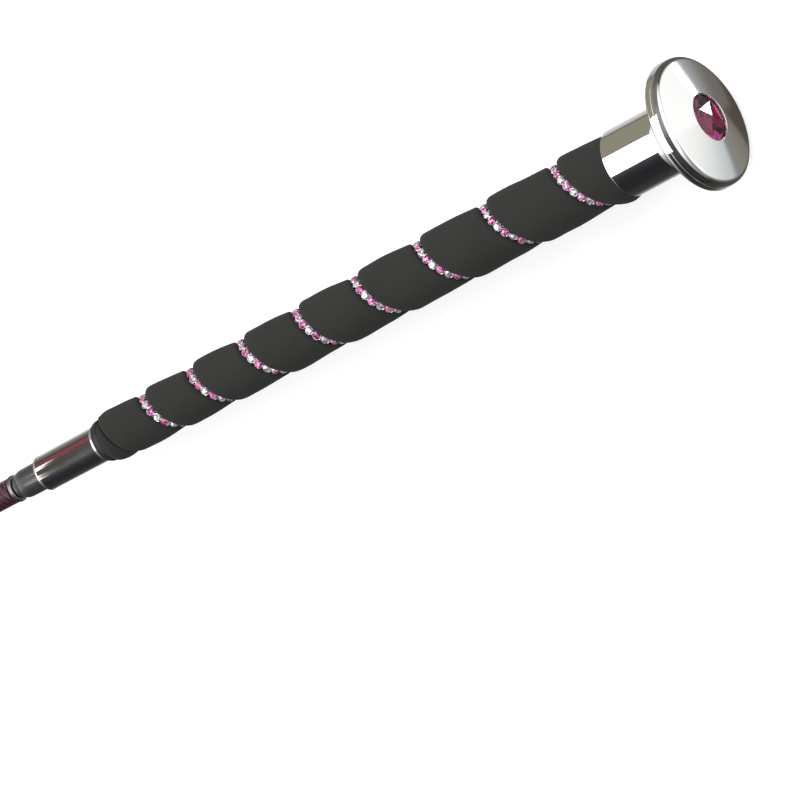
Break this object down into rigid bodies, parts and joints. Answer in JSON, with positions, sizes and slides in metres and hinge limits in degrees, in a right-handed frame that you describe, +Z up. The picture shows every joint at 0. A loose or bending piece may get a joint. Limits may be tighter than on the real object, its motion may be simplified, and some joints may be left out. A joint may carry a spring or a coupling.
{
  "type": "riding crop",
  "caption": "Long slim dressage whip with a chrome mushroom cap holding a fuchsia stone, a spiral foam grip with a crystal band, a braided flexible shaft and a corded lash.",
  "frame": {"origin": "on the surface that the whip lies on, under the middle of its box without the lash", "axes": "+X along the whip towards the cap, +Z up"},
  "size_m": [0.9803, 0.0683, 0.0359],
  "materials": {
    "chrome": "polished",
    "silver": "bright plated",
    "stone": "faceted fuchsia stone",
    "crystal": "faceted rhinestones, fuchsia and clear",
    "foil": "lacquered foil",
    "foam": "matt soft foam with a fine fabric skin",
    "moulding": "moulded",
    "rubber": "satin",
    "lacquer": "black lacquer",
    "accent": "burgundy and black braid with fuchsia thread under clear lacquer",
    "braid": "braided nylon",
    "thread": "waxed thread",
    "fibreglass": "pultruded glass-fibre rod"
  },
  "bodies": {
    "handle": {"end_cap": "chrome", "cap_crystal": "stone", "crystal_foil": "foil", "neck_plug": "moulding", "grip_underlay": "moulding", "grip_wrap": "foam", "crystal_tape": "silver", "crystal_row": "crystal", "grip_end_ring": "rubber", "ferrule": "chrome", "ferrule_bush": "moulding", "collar": "lacquer", "shaft_ring": "silver", "accent_sleeve": "accent", "shaft_core_0": "fibreglass", "shaft_cover_0": "braid"},
    "shaft_1": {"shaft_core_1": "fibreglass", "shaft_cover_1": "braid"},
    "shaft_2": {"shaft_core_2": "fibreglass", "shaft_cover_2": "braid"},
    "shaft_3": {"shaft_core_3": "fibreglass", "shaft_cover_3": "braid"},
    "shaft_4": {"shaft_core_4": "fibreglass", "shaft_cover_4": "braid"},
    "shaft_5": {"shaft_core_5": "fibreglass", "shaft_cover_5": "braid"},
    "shaft_6": {"shaft_core_6": "fibreglass", "shaft_cover_6": "braid", "tip_whipping": "thread", "lash_tail": "braid", "lash": "braid", "lash_end": "braid"}
  },
  "joints": [
    {"name": "flex_1", "type": "hinge", "parent": "handle", "child": "shaft_1", "pos_m": [0.15654, 0, 0.01299], "axis": [0, 0, 1], "range_deg": [-7, 7], "stiffness_Nm_per_rad": 8},
    {"name": "flex_2", "type": "hinge", "parent": "shaft_1", "child": "shaft_2", "pos_m": [0.05656, 0, 0.01133], "axis": [0, 0, 1], "range_deg": [-7.75, 7.75], "stiffness_Nm_per_rad": 4.9},
    {"name": "flex_3", "type": "hinge", "parent": "shaft_2", "child": "shaft_3", "pos_m": [-0.04343, 0, 0.00967], "axis": [0, 0, 1], "range_deg": [-8.45, 8.45], "stiffness_Nm_per_rad": 2.8},
    {"name": "flex_4", "type": "hinge", "parent": "shaft_3", "child": "shaft_4", "pos_m": [-0.14341, 0, 0.008], "axis": [0, 0, 1], "range_deg": [-9.15, 9.15], "stiffness_Nm_per_rad": 1.4},
    {"name": "flex_5", "type": "hinge", "parent": "shaft_4", "child": "shaft_5", "pos_m": [-0.2434, 0, 0.00634], "axis": [0, 0, 1], "range_deg": [-10.2, 10.2], "stiffness_Nm_per_rad": 0.6},
    {"name": "flex_6", "type": "hinge", "parent": "shaft_5", "child": "shaft_6", "pos_m": [-0.34339, 0, 0.00467], "axis": [0, 0, 1], "range_deg": [-11.25, 11.25], "stiffness_Nm_per_rad": 0.2}
  ],
  "couplings": [
    {"joint": "flex_2", "follows": "flex_1", "ratio": 1.1},
    {"joint": "flex_3", "follows": "flex_1", "ratio": 1.2},
    {"joint": "flex_4", "follows": "flex_1", "ratio": 1.3},
    {"joint": "flex_5", "follows": "flex_1", "ratio": 1.45},
    {"joint": "flex_6", "follows": "flex_1", "ratio": 1.6}
  ]
}
